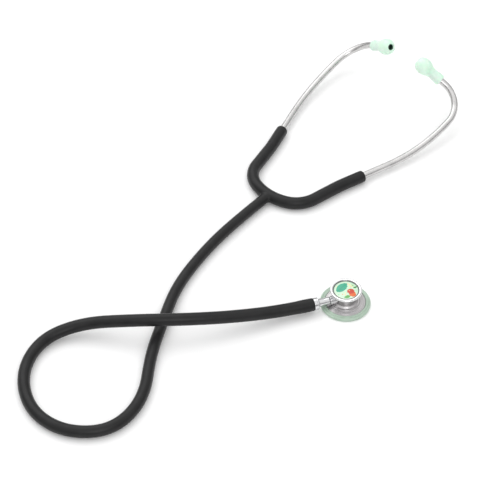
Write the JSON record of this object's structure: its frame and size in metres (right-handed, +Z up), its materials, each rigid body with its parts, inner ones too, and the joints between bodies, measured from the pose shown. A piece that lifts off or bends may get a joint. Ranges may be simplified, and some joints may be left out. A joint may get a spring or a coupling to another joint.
{
  "type": "stethoscope",
  "caption": "Double-headed child's stethoscope with a turning chestpiece, single-lumen tubing, sprung yoke, bent ear tubes and soft ear tips, lying on a table",
  "frame": {"origin": "middle of the chestpiece's contact plane on the table, under the middle of the diaphragm", "axes": "+Z up, away from the table; +Y along the headset, from the yoke to the ear tips; +X to the right as seen from above"},
  "size_m": [0.1935, 0.4578, 0.0457],
  "materials": {
    "tubing": "satin moulded PVC, near black",
    "spring_steel": "hardened strip and wire, matt",
    "plated_metal": "bright plating",
    "polished_metal": "polished",
    "turned_metal": "fine turned, satin",
    "seal_rubber": "black nitrile",
    "printed_disc": "glossy print of plain leaf and berry shapes on pale mint",
    "diaphragm_laminate": "off-white glass-fibre laminate",
    "soft_ring": "grey mint, satin",
    "ear_tube_metal": "satin bright",
    "insert_brass": "machined",
    "soft_tip": "glossy soft silicone, pale mint"
  },
  "bodies": {
    "root": {"main_tube": "tubing", "yoke_crown": "tubing", "leaf_spring": "spring_steel", "stem": "plated_metal", "stem_o_ring": "seal_rubber"},
    "head": {"chestpiece_body": "turned_metal", "bell_cup": "polished_metal", "graphic_disc": "printed_disc", "disc_retainer": "plated_metal", "diaphragm": "diaphragm_laminate", "diaphragm_ring": "soft_ring", "stem_nut": "plated_metal", "detent_ball": "spring_steel", "detent_spring": "spring_steel", "detent_screw": "spring_steel"},
    "left_arm": {"left_arm_sleeve": "tubing"},
    "left_tube": {"left_ear_tube": "ear_tube_metal"},
    "left_tip": {"left_tip_insert": "insert_brass", "left_ear_tip": "soft_tip"},
    "right_arm": {"right_arm_sleeve": "tubing"},
    "right_tube": {"right_ear_tube": "ear_tube_metal"},
    "right_tip": {"right_tip_insert": "insert_brass", "right_ear_tip": "soft_tip"}
  },
  "joints": [
    {"name": "head_turn", "type": "hinge", "parent": "root", "child": "head", "pos_m": [0, 0, 0.007], "axis": [-0.5225, -0.8526, 0], "continuous": true},
    {"name": "left_spread", "type": "hinge", "parent": "root", "child": "left_arm", "pos_m": [-0.13853, 0.05629, 0.00475], "axis": [0, 0, 1], "range_deg": [-1, 25], "stiffness_Nm_per_rad": 0.9, "deforming": ["leaf_spring"]},
    {"name": "left_tube_twist", "type": "hinge", "parent": "left_arm", "child": "left_tube", "pos_m": [-0.15593, 0.11292, 0.00475], "axis": [0.2974, -0.9548, 0], "range_deg": [-15, 45]},
    {"name": "left_tip_turn", "type": "hinge", "parent": "left_tube", "child": "left_tip", "pos_m": [-0.14888, 0.22129, 0.03005], "axis": [0.8499, -0.1961, 0.4891], "continuous": true},
    {"name": "right_spread", "type": "hinge", "parent": "root", "child": "right_arm", "pos_m": [-0.09007, 0.05629, 0.00475], "axis": [0, 0, -1], "range_deg": [-1, 25], "stiffness_Nm_per_rad": 0.9, "deforming": ["leaf_spring"]},
    {"name": "right_tube_twist", "type": "hinge", "parent": "right_arm", "child": "right_tube", "pos_m": [-0.07267, 0.11292, 0.00475], "axis": [0.2974, 0.9548, 0], "range_deg": [-15, 45]},
    {"name": "right_tip_turn", "type": "hinge", "parent": "right_tube", "child": "right_tip", "pos_m": [-0.07972, 0.22129, 0.03005], "axis": [-0.8499, -0.1961, 0.4891], "continuous": true}
  ]
}
